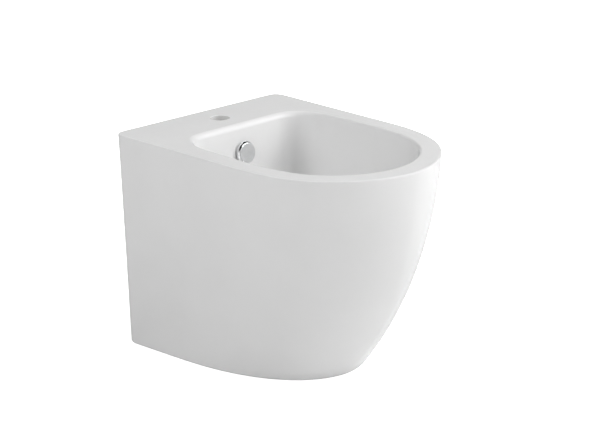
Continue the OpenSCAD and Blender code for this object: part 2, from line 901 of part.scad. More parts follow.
ceramic_body();
overflow_cap();
overflow_sleeve();
overflow_gasket();
waste_body();
waste_cover();
cover_seal();
cover_stem();
latch_housing();
latch_spring();
waste_top_gasket();
waste_lower_gasket();
waste_slip_washer();
waste_back_nut();
trap_inlet_nut();
trap_inlet_seal();
trap_dip_tube();
trap_head_nut();
trap_head_seal();
trap_head();
trap_cup();
trap_cup_seal();
outlet_nut();
outlet_seal();
outlet_pipe();
floor_brackets();
bracket_screws();
bracket_washers();
bracket_bushes();
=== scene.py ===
import json

import bmesh
import bpy
import numpy as np
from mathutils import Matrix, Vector

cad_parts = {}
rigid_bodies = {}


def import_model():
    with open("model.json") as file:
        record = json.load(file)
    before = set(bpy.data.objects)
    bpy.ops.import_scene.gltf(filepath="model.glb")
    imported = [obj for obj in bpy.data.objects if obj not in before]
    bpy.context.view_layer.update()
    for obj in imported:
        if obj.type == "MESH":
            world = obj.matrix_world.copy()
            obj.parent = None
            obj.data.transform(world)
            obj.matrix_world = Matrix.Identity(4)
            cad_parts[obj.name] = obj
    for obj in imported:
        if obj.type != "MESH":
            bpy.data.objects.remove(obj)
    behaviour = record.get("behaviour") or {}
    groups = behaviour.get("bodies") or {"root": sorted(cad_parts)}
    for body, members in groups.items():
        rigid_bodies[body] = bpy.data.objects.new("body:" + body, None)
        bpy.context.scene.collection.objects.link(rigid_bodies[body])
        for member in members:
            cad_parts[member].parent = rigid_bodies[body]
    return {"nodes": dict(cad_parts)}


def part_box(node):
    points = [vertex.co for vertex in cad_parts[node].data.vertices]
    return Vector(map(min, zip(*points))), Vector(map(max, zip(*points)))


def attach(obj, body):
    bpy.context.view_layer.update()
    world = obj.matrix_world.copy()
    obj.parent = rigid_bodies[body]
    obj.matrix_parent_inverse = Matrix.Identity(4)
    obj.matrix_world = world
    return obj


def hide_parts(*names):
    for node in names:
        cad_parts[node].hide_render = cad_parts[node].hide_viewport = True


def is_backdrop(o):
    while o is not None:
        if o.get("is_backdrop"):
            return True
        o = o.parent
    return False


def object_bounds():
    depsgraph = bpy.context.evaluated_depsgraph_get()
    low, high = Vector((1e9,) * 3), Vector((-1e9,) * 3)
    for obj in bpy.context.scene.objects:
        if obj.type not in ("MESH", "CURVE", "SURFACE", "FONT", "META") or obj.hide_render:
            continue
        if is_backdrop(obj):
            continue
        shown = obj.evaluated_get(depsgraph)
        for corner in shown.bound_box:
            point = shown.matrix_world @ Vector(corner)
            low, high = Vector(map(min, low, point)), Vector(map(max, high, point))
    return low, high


for leftover in list(bpy.data.objects):
    bpy.data.objects.remove(leftover)

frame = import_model()
cadLow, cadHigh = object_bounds()
mm = 0.001
print("frame loaded with", len(frame["nodes"]), "nodes")


# Colours and materials

def fromHex(code):
    # An sRGB hex colour as linear red, green, blue and alpha
    share = np.array([int(code[i : i + 2], 16) for i in (1, 3, 5)]) / 255
    linear = np.where(share <= 0.04045, share / 12.92, ((share + 0.055) / 1.055) ** 2.4)
    return (*linear.tolist(), 1.0)


def addNode(tree, kind, settings=None, links=None):
    # Adds a node, sets its properties and its unlinked sockets, and links the sockets that come from others.
    # A socket goes by its name, or by its number where two have the same name.
    node = tree.nodes.new(kind)
    for name, value in (settings or {}).items():
        if isinstance(name, int) or name in node.inputs:
            node.inputs[name].default_value = value
        else:
            setattr(node, name, value)
    for name, source in (links or {}).items():
        tree.links.new(source, node.inputs[name])
    return node


# The part of the noise's range that is spread over the whole of a pattern
noiseSpread = {"colour": (0.35, 0.65), "roughness": (0.3, 0.7)}


def newMaterial(name, surface, colour, roughness=None, relief=None):
    # A material with one Principled shader. Its colour, roughness and relief each follow a noise of their own
    # in the object's coordinates, with patches as wide as patch says in millimetres.
    material = bpy.data.materials.new(name)
    material.use_nodes = True
    tree = material.node_tree
    tree.nodes.clear()
    shader = addNode(tree, "ShaderNodeBsdfPrincipled", surface)
    addNode(tree, "ShaderNodeOutputMaterial", links={"Surface": shader.outputs["BSDF"]})
    place = addNode(tree, "ShaderNodeTexCoord").outputs["Object"]
    noise = {}
    for use, pattern in (("colour", colour), ("roughness", roughness), ("relief", relief)):
        if pattern:
            mapped = addNode(tree, "ShaderNodeMapping", {"Scale": pattern.get("stretch", (1.0, 1.0, 1.0))},
                             {"Vector": place})
            noise[use] = addNode(tree, "ShaderNodeTexNoise",
                                 {"Scale": 1 / (pattern["patch"] * mm), "Detail": pattern.get("detail", 3.0)},
                                 {"Vector": mapped.outputs["Vector"]}).outputs["Fac"]
    # Between two near colours
    low, high = noiseSpread["colour"]
    spread = addNode(tree, "ShaderNodeMapRange", {"From Min": low, "From Max": high},
                     {"Value": noise["colour"]})
    mixed = addNode(tree, "ShaderNodeMix", {"data_type": "RGBA"}, {"Factor": spread.outputs["Result"]})
    ends = [socket for socket in mixed.inputs if socket.type == "RGBA"]
    ends[0].default_value, ends[1].default_value = map(fromHex, colour["between"])
    result = [socket for socket in mixed.outputs if socket.type == "RGBA"][0]
    tree.links.new(result, shader.inputs["Base Color"])
    if roughness:
        low, high = noiseSpread["roughness"]
        least, most = roughness["between"]
        spread = addNode(tree, "ShaderNodeMapRange",
                         {"From Min": low, "From Max": high, "To Min": least, "To Max": most},
                         {"Value": noise["roughness"]})
        tree.links.new(spread.outputs["Result"], shader.inputs["Roughness"])
    if relief:
        bump = addNode(tree, "ShaderNodeBump", {"Distance": relief["height"] * mm, "Strength": 1.0},
                       {"Height": noise["relief"]})
        tree.links.new(bump.outputs["Normal"], shader.inputs["Normal"])
    return material, tree, shader, place


# Finishes by their slot in the record, and the bare clay, which has no slot. Lengths are in millimetres.
finishSettings = {
    # Vitreous china, slip cast and dipped in opaque white glaze: a hard even gloss over a slow ripple
    "glazed_china": {
        "name": "glazedVitreousChina",
        "surface": {"IOR": 1.52, "Roughness": 0.16},
        "colour": {"patch": 90, "between": ("#E1E1E1", "#E3E3E3")},
        "roughness": {"patch": 14, "between": (0.13, 0.19)},
        "relief": {"patch": 45, "detail": 1.0, "height": 0.05},
    },
    # Bright chrome over polished brass: a mirror with hairline wiping marks
    "chrome": {
        "name": "brightChromePlate",
        "surface": {"Metallic": 1.0},
        "colour": {"patch": 8, "between": ("#F0F1F2", "#F6F7F8")},
        "roughness": {"patch": 5, "between": (0.04, 0.08)},
        "relief": {"patch": 1.2, "detail": 2.0, "stretch": (1.0, 6.0, 1.0), "height": 0.002},
    },
    # Brass turned on a lathe and left bare: warm, with fine tool rings and dull patches
    "brass": {
        "name": "turnedBrass",
        "surface": {"Metallic": 1.0},
        "colour": {"patch": 6, "between": ("#B08A47", "#CBA765")},
        "roughness": {"patch": 4, "between": (0.22, 0.38)},
        "relief": {"patch": 0.8, "detail": 2.0, "stretch": (1.0, 1.0, 5.0), "height": 0.01},
    },
    # Pressed steel with bright zinc plating: grey, slightly spangled and soft in its gloss
    "steel": {
        "name": "zincPlatedSteel",
        "surface": {"Metallic": 1.0},
        "colour": {"patch": 5, "detail": 4.0, "between": ("#A9AEB3", "#C3C7CB")},
        "roughness": {"patch": 3, "between": (0.28, 0.45)},
        "relief": {"patch": 1.0, "height": 0.01},
    },
    # Injection moulded white polypropylene: waxy half gloss with a faint flow pattern
    "white_plastic": {
        "name": "mouldedWhitePolypropylene",
        "surface": {"IOR": 1.49},
        "colour": {"patch": 30, "between": ("#E6E6E2", "#EEEEEB")},
        "roughness": {"patch": 6, "between": (0.3, 0.42)},
        "relief": {"patch": 2.5, "height": 0.02},
    },
    # Black nitrile rubber, compression moulded: dull, with a dusty bloom in patches
    "rubber": {
        "name": "mouldedBlackRubber",
        "surface": {"IOR": 1.52},
        "colour": {"patch": 7, "between": ("#2A2A2C", "#3C3C3E")},
        "roughness": {"patch": 4, "between": (0.55, 0.75)},
        "relief": {"patch": 0.7, "height": 0.02},
    },
    # Milky silicone rubber: soft gloss and a slightly clouded body
    "clear_rubber": {
        "name": "mouldedClearSilicone",
        "surface": {"IOR": 1.41, "Transmission Weight": 0.3},
        "colour": {"patch": 5, "between": ("#E2E4E4", "#F0F1F1")},
        "roughness": {"patch": 3, "between": (0.35, 0.5)},
    },
    # Glass filled nylon: grey, matt and finely speckled
    "nylon": {
        "name": "glassFilledNylon",
        "surface": {"IOR": 1.53},
        "colour": {"patch": 1.2, "between": ("#505256", "#62646A")},
        "roughness": {"patch": 2, "between": (0.45, 0.6)},
        "relief": {"patch": 0.8, "height": 0.015},
    },
    # The china where it was wiped bare before firing: matt, faintly warm and grainy
    "bareClay": {
        "name": "unglazedFiredClay",
        "surface": {"IOR": 1.5},
        "colour": {"patch": 25, "between": ("#DDD8CD", "#E7E3DA")},
        "roughness": {"patch": 3, "between": (0.62, 0.8)},
        "relief": {"patch": 0.9, "height": 0.06},
    },
}
finishes = {slot: newMaterial(**settings)[0] for slot, settings in finishSettings.items()}
print("materials made:", len(finishes))


# Surfaces worked out on grids

samePlace = 1e-7                       # metres within which two points are one


def mix(a, b, t):
    # From a to b by the share t
    return a + (b - a) * t


def sinPower(share, power):
    # Sine of a share of a right angle, raised to 2 / power, as on a superellipse
    return np.sin(share * np.pi / 2) ** (2 / power)


def cosPower(share, power):
    # Cosine of a share of a right angle, raised to 2 / power
    return np.clip(np.cos(share * np.pi / 2), 0, 1) ** (2 / power)


def gridFaces(rows, columns, closed, rings=True):
    # Quads between neighbours of a grid. If rings, a row's last point joins its first, and if closed, the
    # last row joins the first.
    i, j = np.meshgrid(np.arange(rows if closed else rows - 1), np.arange(columns if rings else columns - 1),
                       indexing="ij")
    nextI, nextJ = (i + 1) % rows, (j + 1) % columns
    corners = [i * columns + j, i * columns + nextJ, nextI * columns + nextJ, nextI * columns + j]
    return np.stack(corners, -1).reshape(-1, 4)


def linkMesh(name, points, faces):
    # A mesh from points in millimetres, as an object of the scene
    mesh = bpy.data.meshes.new(name)
    mesh.from_pydata((points.reshape(-1, 3) * mm).tolist(), [], faces)
    piece = bpy.data.objects.new(name, mesh)
    bpy.context.scene.collection.objects.link(piece)
    return piece


def newPiece(name, rings, materials, closed=False, rowMaterial=None):
    # A mesh from rings of points in millimetres; open ends get a flat cap
    rows, columns = rings.shape[:2]
    faces = gridFaces(rows, columns, closed).tolist()
    if not closed:
        faces.append(list(range(columns)))
        faces.append(list(range((rows - 1) * columns, rows * columns)))
    piece = linkMesh(name, rings, faces)
    mesh = piece.data
    if rowMaterial is not None:
        index = np.zeros(len(faces), int)
        index[: len(rowMaterial) * columns] = np.repeat(rowMaterial, columns)
        mesh.polygons.foreach_set("material_index", index)
    for material in materials:
        mesh.materials.append(material)
    work = bmesh.new()
    work.from_mesh(mesh)
    bmesh.ops.remove_doubles(work, verts=work.verts, dist=samePlace)
    bmesh.ops.recalc_face_normals(work, faces=work.faces)
    work.to_mesh(mesh)
    work.free()
    return piece


def joinShapes(piece, tools, operation):
    # Cuts each tool from the piece, or joins it on, and deletes the tool
    for tool in tools:
        step = piece.modifiers.new(operation, "BOOLEAN")
        step.operation = operation
        step.solver = "MANIFOLD"
        step.object = tool
        bpy.context.view_layer.update()
        graph = bpy.context.evaluated_depsgraph_get()
        mesh = bpy.data.meshes.new_from_object(piece.evaluated_get(graph))
        piece.modifiers.remove(step)
        old = piece.data
        piece.data = mesh
        bpy.data.meshes.remove(old)
        bpy.data.objects.remove(tool)


def shadeByAngle(piece, degrees):
    # Smooth shading that breaks where faces meet at more than the angle, and leans to the larger faces
    mesh = piece.data
    mesh.shade_smooth()
    work = bmesh.new()
    work.from_mesh(mesh)
    limit = np.radians(degrees)
    for edge in work.edges:
        if len(edge.link_faces) == 2:
            edge.smooth = edge.calc_face_angle() < limit
    work.to_mesh(mesh)
    work.free()
    weighted = piece.modifiers.new("weighted", "WEIGHTED_NORMAL")
    weighted.keep_sharp = True


# China body: the outline at each height, the basin, and the rounded lip between them

backY = cadHigh.y / mm
height = cadHigh.z / mm
china = {
    "halfWidth": (190.0, 180.5),       # at the rim and at the foot
    "depth": (500.0, 367.0),
    "sideRun": (270.0, 94.0),          # from the wall to where the sides start to curve in
    "taper": (0.025, 0.116),           # lean of the sides for each millimetre away from the wall
    "sidePower": (1.75, 1.96),
    "frontPower": (2.79, 2.84),
    "widthPower": 0.83,
    "fallPower": 2.19,
    "leanPower": 1.4,
    "curvePower": 2.0,
    "cornerRadius": 19.0,
    "leastCorner": 6.0,
    "cornerPower": 2.0,                # a true quarter circle
    "edgeRadius": 3.0,
    "footRadius": 5.0,
    "wall": 11.0,
    "footWall": 16.0,
    "deck": 15.0,
    "creaseAngle": 35,                 # degrees between faces at which the shading breaks
}
basin = {
    "halfWidth": 145.0,
    "backEdge": 111.0,                 # from the wall
    "frontRim": 39.0,
    "cornerX": 64.0,
    "cornerY": 89.0,
    "sideRun": 162.0,
    "sidePower": 1.9,
    "frontPower": 2.7,
    "cornerPower": 2.5,
    "sectionPower": 4.0,
    "draft": 0.12,
    "fall": 13.0,
    "seat": 240.0,
    "seatMargin": 36.5,                # radius of the flat seat
    "seatSoftness": 0.08,              # how gently the floor meets the seat
    "holeRadius": 23.0,
    "holeRound": 1.5,
    "seatRing": 1.0,                   # from the seat's edge in to the last ring of the hole
    "wasteToWall": 240.0,
    "wall": 11.0,
    "lipSide": 5.0,
    "lipBack": 11.0,
    "bossHeight": 40.0,
    "bossRadius": 40.0,
    "bossBevel": 2.0,
    "glazeEdge": 1.0,                  # from the boss's underside up to where the glaze starts
}
chinaRows = {
    # Rings of points in each stretch of the surface
    "bowl": 40,
    "lip": 13,
    "wall": 60,
    "inner": 24,
    "under": 30,
    "round": 9,
    "deck": (0.015, 0.3, 0.65, 0.985),   # where the deck's rings lie between the lip and the edge
}
wasteY = backY - basin["wasteToWall"]

# Columns of half an outline: how many each stretch has, which one a column belongs to, and its share of it
stretchSteps = (14, 34, 24, 78)        # of the back, the corner, the side and the front
frontSpacing = 1.4                     # power that draws the front's columns towards the sides
stretch = np.concatenate([np.full(n, k) for k, n in enumerate(stretchSteps)] + [[3]])
share = np.concatenate([np.arange(n) / n for n in stretchSteps] + [[1.0]])
halfCount = len(stretch)
mirrorColumn = np.concatenate([np.arange(halfCount), np.arange(halfCount - 2, 0, -1)])
mirrorSign = np.where(np.arange(len(mirrorColumn)) < halfCount, 1.0, -1.0)


def outline(halfWidth, taper, sideY, rearY, frontY, sidePower, frontPower, cornerX, cornerY, cornerPower):
    # Half the back, a superellipse corner, a leaning side, and a front that is a superellipse laid over the
    # lean: x = (halfWidth - taper * distance) * cos^(2/p), y falls by sin^(2/q). Then mirrored.
    endX = halfWidth - taper * cornerY
    turn = share ** frontSpacing
    sideAt = mix(rearY - cornerY, sideY, share)
    frontAt = sideY - (sideY - frontY) * sinPower(turn, frontPower)
    x = np.select(
        [stretch == 0, stretch == 1, stretch == 2],
        [(endX - cornerX) * share, endX - cornerX + cornerX * sinPower(share, cornerPower),
         halfWidth - taper * (rearY - sideAt)],
        (halfWidth - taper * (rearY - frontAt)) * cosPower(turn, sidePower))
    y = np.select(
        [stretch == 0, stretch == 1, stretch == 2],
        [rearY + 0 * share, rearY - cornerY + cornerY * cosPower(share, cornerPower), sideAt], frontAt)
    return x[..., mirrorColumn] * mirrorSign, y[..., mirrorColumn]


def outside(z, inset):
    # Rings of the outside at heights z, drawn in by inset; both are columns of numbers
    z = np.asarray(z, float)[:, None]
    inset = np.broadcast_to(inset, z[:, 0].shape)[:, None]
    drop = np.clip((height - z) / height, 0, 1)
    lean, curve = drop ** china["leanPower"], drop ** china["curvePower"]
    corner = np.maximum(china["cornerRadius"] - inset, china["leastCorner"])
    x, y = outline(
        mix(*china["halfWidth"], drop ** china["widthPower"]) - inset,
        mix(*china["taper"], lean),
        backY - mix(*china["sideRun"], lean),
        backY - inset,
        backY - mix(*china["depth"], drop ** china["fallPower"]) + inset,
        mix(*china["sidePower"], curve),
        mix(*china["frontPower"], curve),
        corner, corner, china["cornerPower"])
    return np.stack([x, y, np.broadcast_to(z, x.shape)], -1)


def opening(grow):
    # The basin's outline, moved outwards by grow, which may differ from column to column
    return outline(
        basin["halfWidth"] + grow, 0.0, backY - basin["backEdge"] - basin["sideRun"],
        backY - basin["backEdge"] + grow, basin["frontRim"] - backY - grow,
        basin["sidePower"], basin["frontPower"],
        basin["cornerX"] + grow, basin["cornerY"] + grow, basin["cornerPower"])


def fromWaste(x, y, radius):
    # Points on a circle round the waste, each towards its own column of an outline
    far = np.hypot(x, y - wasteY)
    return radius * x / far, wasteY + radius * (y - wasteY) / far


def levelRings(radii, heights):
    # Circles round the waste, one for each radius and height
    x, y = opening(np.zeros(halfCount))
    circleX, circleY = fromWaste(x, y, np.asarray(radii, float)[:, None])
    z = np.broadcast_to(np.asarray(heights, float)[:, None], circleX.shape)
    return np.stack([circleX, circleY, z], -1)


def sectionAt(shares, start):
    # Section of the bowl at shares s of its depth: rho = (1 - s^n)^(1/n), drawn in by the draft
    n = basin["sectionPower"]
    return np.clip(1 - shares ** n, 0, 1) ** (1 / n) * (1 - basin["draft"] * (shares - start))


def bowlRings(grow, radius, depth, shares, start):
    # Rings blend from the circle round the waste to the opening by rho, and the floor falls as rho goes to
    # nothing, level where it meets the seat
    rho = sectionAt(shares, start)
    x, y = opening(np.full(halfCount, grow))
    circleX, circleY = fromWaste(x, y, radius)
    soft = basin["seatSoftness"]
    level = (np.sqrt(rho ** 2 + soft ** 2) - soft) / (np.sqrt(1 + soft ** 2) - soft)
    z = height - depth * shares - basin["fall"] * (1 - level)
    return np.stack([mix(circleX, x, rho), mix(circleY, y, rho), z], -1)


def bowlShares(start, steps):
    # Shares of the depth from start to 1, closer together where the section turns
    n = basin["sectionPower"]
    first = np.arcsin(start ** (n / 2))
    return np.sin(mix(first, np.pi / 2, np.linspace(0, 1, steps)[:, None])) ** (2 / n)


sideDepth = height - basin["seat"] - basin["fall"]
lipStart = basin["lipSide"] / sideDepth
bossZ = basin["seat"] - basin["bossHeight"]


def chinaRings():
    # Closed rings from the waste's hole up the bowl, over the lip and the edge, down the outside, up the
    # inside and back along the bowl's underside to the boss, with the material of each row
    quarter = np.linspace(0, 1, chinaRows["round"]) * np.pi / 2
    # The lip is wide along the back and narrow elsewhere
    backShare = np.select([stretch == 0, stretch == 1], [1.0, 0.5 + 0.5 * np.cos(np.pi * share)], 0.0)
    lip = mix(basin["lipSide"], basin["lipBack"], backShare)
    # The lip's arc starts at the lean of the basin wall, so that they meet without a crease
    x, y = opening(np.zeros(halfCount))
    along = np.stack([np.roll(x, -1) - np.roll(x, 1), np.roll(y, -1) - np.roll(y, 1)])
    outward = np.stack([-along[1], along[0]]) / np.hypot(*along)
    outward *= np.sign(np.sum(outward * np.stack([x, y - wasteY]), 0))
    reach = np.sum(outward * np.stack([x, y - wasteY]), 0)
    lean = np.arctan(basin["draft"] * reach / sideDepth)
    lip = lip[mirrorColumn]
    start = lip * (1 - np.sin(lean)) / sideDepth
    bowlShare = bowlShares(start, chinaRows["bowl"])[::-1]
    bowl = bowlRings(0.0, basin["seatMargin"], sideDepth, bowlShare, lipStart)
    turn = mix(lean, np.pi / 2, np.linspace(0, 1, chinaRows["lip"])[1:, None])
    away = lip * (np.cos(lean) - np.cos(turn))
    lipRings = np.stack([bowl[-1, :, 0] + outward[0] * away, bowl[-1, :, 1] + outward[1] * away,
                         height - lip * (1 - np.sin(turn))], -1)
    edgeInset = china["edgeRadius"] * (1 - np.sin(quarter))
    edge = outside(height - china["edgeRadius"] * (1 - np.cos(quarter)), edgeInset)
    deck = mix(lipRings[-1], edge[0], np.array(chinaRows["deck"])[:, None, None])
    wallLevels = np.linspace(height - china["edgeRadius"], china["footRadius"], chinaRows["wall"])
    wall = outside(wallLevels[1:], 0.0)
    foot = outside(china["footRadius"] * (1 - np.sin(quarter[1:])),
                   china["footRadius"] * (1 - np.cos(quarter[1:])))
    innerLevels = np.linspace(2 * china["footWall"], height - china["deck"], chinaRows["inner"])
    inner = np.concatenate([outside([0.0], china["footWall"]), outside(innerLevels, china["wall"])])
    underDepth = sideDepth + basin["wall"]
    underStart = china["deck"] / underDepth
    underShares = bowlShares(np.full(len(mirrorColumn), underStart), chinaRows["under"])
    under = bowlRings(basin["wall"], basin["bossRadius"], underDepth, underShares, underStart)
    hole, holeRound, seat = basin["holeRadius"], basin["holeRound"], basin["seat"]
    boss = levelRings([basin["bossRadius"] - basin["bossBevel"], hole], [bossZ, bossZ])
    bossSide = levelRings([basin["bossRadius"]], [bossZ + basin["bossBevel"]])
    boreRadii = np.concatenate([[hole, hole], hole + holeRound * (1 - np.cos(quarter[1:])),
                                [basin["seatMargin"] - basin["seatRing"]]])
    boreLevels = np.concatenate([[bossZ + basin["glazeEdge"], seat - holeRound],
                                 seat - holeRound * (1 - np.sin(quarter[1:])), [seat]])
    bore = levelRings(boreRadii, boreLevels)
    glazed = [bore, bowl, lipRings, deck, edge, wall, foot]
    bare = [inner, under, bossSide, boss]
    rings = np.concatenate(glazed + bare)
    rowMaterial = np.zeros(len(rings), int)
    rowMaterial[sum(map(len, glazed)) - 1 :] = 1
    return rings, rowMaterial


rings, rowMaterial = chinaRings()
body = newPiece("china_body", rings, [finishes["glazed_china"], finishes["bareClay"]], True, rowMaterial)
print("china body made:", len(body.data.vertices), "points")


# What is cut from the china, and what stands on its inner side

def roundedBlock(name, lowCorner, highCorner, radius, steps=4):
    # A box whose edges are round: each quarter turn of a sphere is moved to its own corner
    lowCorner, highCorner = np.array(lowCorner, float), np.array(highCorner, float)
    quarter = np.linspace(0, 1, steps + 1) * np.pi / 2
    around = np.concatenate([quarter + k * np.pi / 2 for k in range(4)])
    sideX = np.repeat([1, -1, -1, 1], steps + 1)
    sideY = np.repeat([1, 1, -1, -1], steps + 1)
    up = np.concatenate([quarter - np.pi / 2, quarter])
    sideZ = np.repeat([-1, 1], steps + 1)
    half, centre = (highCorner - lowCorner) / 2, (highCorner + lowCorner) / 2
    x = centre[0] + sideX * (half[0] - radius) + radius * np.cos(up)[:, None] * np.cos(around)
    y = centre[1] + sideY * (half[1] - radius) + radius * np.cos(up)[:, None] * np.sin(around)
    z = centre[2] + (sideZ * (half[2] - radius) + radius * np.sin(up))[:, None] + 0 * around
    return newPiece(name, np.stack([x, y, z], -1), [finishes["bareClay"]])


def turned(name, profile, centre, axis, materials, steps=96):
    # A profile of radius and height pairs carried round an axis, as in
    # p = centre + h * axis + r * (u cos a + v sin a)
    profile = np.array(profile, float)
    axis = np.array(axis, float) / np.linalg.norm(axis)
    # Y is crossed with the axis, or X where the axis lies near Y
    side = np.cross(axis, [0.0, 1.0, 0.0] if abs(axis[1]) < 0.9 else [1.0, 0.0, 0.0])
    side /= np.linalg.norm(side)
    other = np.cross(axis, side)
    a = np.linspace(0, 2 * np.pi, steps, endpoint=False)[:, None]
    ring = np.cos(a) * side + np.sin(a) * other
    points = np.array(centre, float) + profile[:, 1, None, None] * axis + profile[:, 0, None, None] * ring
    return newPiece(name, points, materials)


def flare(radius, top, lip, steps=8, steepest=83, past=0.1):
    # The end of a hole whose lip turns outwards: r = R + f (1 - cos a), h = top - f (1 - sin a), and then on
    # along its last slope until it is past the surface
    a = np.radians(np.linspace(0, steepest, steps))
    r, h = radius + lip * (1 - np.cos(a)), top - lip * (1 - np.sin(a))
    beyond = past + top - h[-1]
    r, h = np.append(r, r[-1] + beyond * np.tan(a[-1])), np.append(h, top + past)
    return np.stack([r, h], -1)


fittings = {
    "tapRadius": 16.5,
    "tapToWall": 55.0,                 # from the hole's middle
    "tapLip": 1.0,
    "tapPast": 5.0,                    # how far the cut goes on below the deck
    "overflowRadius": 11.5,
    "overflowDrop": 50.0,
    "overflowLip": 1.0,
    "overflowPast": 6.0,               # how far the cut goes on behind the basin's wall
    "channelWidth": 24.0,
    "channelGap": 14.0,
    "channelWall": 7.0,
    "channelMargin": 2.0,
    "channelRound": 4.0,
    "runHeight": 14.0,
    "runLift": 11.0,
    "runOverlap": 12.0,                # how far the run reaches into the boss
    "runRound": 3.0,
    "runShort": 1.0,                   # from the run's end to the channel's back
    "ribRound": 5.0,                   # of the walls round the channel and its run
    "bushLength": 12.0,
    "bushEnd": 1.0,
    "bushFit": 0.05,
    "lugHalfWidth": 21.0,
    "lugBelow": 13.0,
    "lugAbove": 21.0,
    "lugDepth": 19.5,
    "lugRound": 2.5,
    "backOpeningHeight": 300.0,
    "backOpeningRadius": 30.0,
    "backOpeningLip": 3.0,
    "backOpeningPast": 10.0,           # how far the cut goes on inside and below the floor
    "backOpeningSteps": 10,            # points of each rounded corner
}

# The overflow's place and lean on the basin's back wall
overflowShare = fittings["overflowDrop"] / sideDepth
reachBack = backY - basin["backEdge"] - wasteY


def backWallAt(atShare):
    # Where the basin's back wall lies from front to back, at a share of its depth
    return wasteY + mix(basin["seatMargin"], reachBack, sectionAt(atShare, lipStart))


overflowPoint = np.array([0, backWallAt(overflowShare), height - fittings["overflowDrop"]])
shareStep = 0.05
overflowLean = np.arctan((backWallAt(overflowShare - shareStep) - backWallAt(overflowShare + shareStep))
                         / (2 * shareStep * sideDepth))
overflowAxis = np.array([0, -np.cos(overflowLean), np.sin(overflowLean)])

bushLow, bushHigh = [np.array(corner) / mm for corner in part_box("bracket_bushes")]
lugX = bushHigh[0] - fittings["bushLength"]
lugY, lugZ = (bushLow[1] + bushHigh[1]) / 2, (bushLow[2] + bushHigh[2]) / 2
channelFront = overflowPoint[1] + basin["wall"] + fittings["channelMargin"]
channelBack = channelFront + fittings["channelGap"]
channelTop = overflowPoint[2] + fittings["overflowRadius"] + fittings["channelMargin"]
channelFoot = bossZ + fittings["runLift"]
channelHalf, runHalf = fittings["channelWidth"] / 2, fittings["runHeight"] / 2


def addedChina():
    # The walls of the overflow's channel and of its run to the waste, and a lug on each side for its bracket
    wall, rounding = fittings["channelWall"], fittings["ribRound"]
    runStart = wasteY + basin["bossRadius"] - fittings["runOverlap"]
    blocks = [
        roundedBlock("channelWall", (-channelHalf - wall, channelFront - wall, channelFoot - wall),
                     (channelHalf + wall, channelBack + wall, channelTop + wall), rounding),
        roundedBlock("runWall", (-runHalf - wall, runStart, channelFoot - wall),
                     (runHalf + wall, channelBack, channelFoot + fittings["runHeight"] + wall), rounding),
    ]
    for side in (-1, 1):
        ends = sorted((side * lugX, side * (lugX + fittings["lugDepth"])))
        blocks.append(roundedBlock(
            "lug", (ends[0], lugY - fittings["lugHalfWidth"], lugZ - fittings["lugBelow"]),
            (ends[1], lugY + fittings["lugHalfWidth"], lugZ + fittings["lugAbove"]), fittings["lugRound"]))
    return blocks


def backOpeningTool():
    # A rounded doorway carried from inside the shell to the back face, growing as it leaves: rings of
    # (x, z) grown by f (1 - cos a), with the corners' radius growing alike
    halfWidth, top = lugX - fittings["channelMargin"], fittings["backOpeningHeight"]
    radius, past = fittings["backOpeningRadius"], fittings["backOpeningPast"]
    quarter = np.linspace(0, 1, fittings["backOpeningSteps"]) * np.pi / 2
    end = flare(0.0, backY, fittings["backOpeningLip"])
    grow = np.concatenate([[0.0], end[:, 0]])[:, None]
    y = np.concatenate([[backY - 2 * basin["wall"] - past], end[:, 1]])[:, None]
    cornerX = halfWidth - radius + (radius + grow) * np.cos(quarter)
    cornerZ = top - radius + (radius + grow) * np.sin(quarter)
    x = np.concatenate([halfWidth + grow, cornerX, -cornerX[:, ::-1], -halfWidth - grow], 1)
    z = np.concatenate([0 * grow - past, cornerZ, cornerZ[:, ::-1], 0 * grow - past], 1)
    rings = np.stack([x, np.broadcast_to(y, x.shape), z], -1)
    return newPiece("backOpening", rings, [finishes["glazed_china"]])


def cutFromChina():
    # The tap's and the overflow's holes, the channel and its run, the open back, and the bushes' holes
    glaze = [finishes["glazed_china"]]
    tapEnd = height - china["deck"] - fittings["tapPast"]
    tap = np.concatenate([[(fittings["tapRadius"], tapEnd)],
                          flare(fittings["tapRadius"], height, fittings["tapLip"], steps=10)])
    drainEnd = -basin["wall"] - fittings["overflowPast"]
    drain = np.concatenate([[(fittings["overflowRadius"], drainEnd)],
                            flare(fittings["overflowRadius"], 0, fittings["overflowLip"])])
    runEnd = channelBack - fittings["runShort"]
    tools = [
        turned("tapHole", tap, (0, backY - fittings["tapToWall"], 0), (0, 0, 1), glaze),
        turned("overflowHole", drain, overflowPoint, overflowAxis, glaze),
        roundedBlock("channel", (-channelHalf, channelFront, channelFoot),
                     (channelHalf, channelBack, channelTop), fittings["channelRound"]),
        roundedBlock("run", (-runHalf, wasteY, channelFoot),
                     (runHalf, runEnd, channelFoot + fittings["runHeight"]), fittings["runRound"]),
        backOpeningTool(),
    ]
    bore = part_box("bracket_bushes")[1].z / mm - lugZ + fittings["bushFit"]
    boreEnds = [(bore, -fittings["bushEnd"]), (bore, fittings["bushLength"] + fittings["bushEnd"])]
    for side in (-1, 1):
        tools.append(turned("bushBore", boreEnds, (side * lugX, lugY, lugZ), (side, 0, 0),
                            [finishes["bareClay"]], steps=48))
    return tools


joinShapes(body, addedChina(), "UNION")
joinShapes(body, cutFromChina(), "DIFFERENCE")
shadeByAngle(body, china["creaseAngle"])
print("china body joined and cut:", len(body.data.polygons), "faces")
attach(body, "bidet")
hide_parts("ceramic_body")


# Chrome pieces turned on a lathe: the overflow's cap and the waste's cover

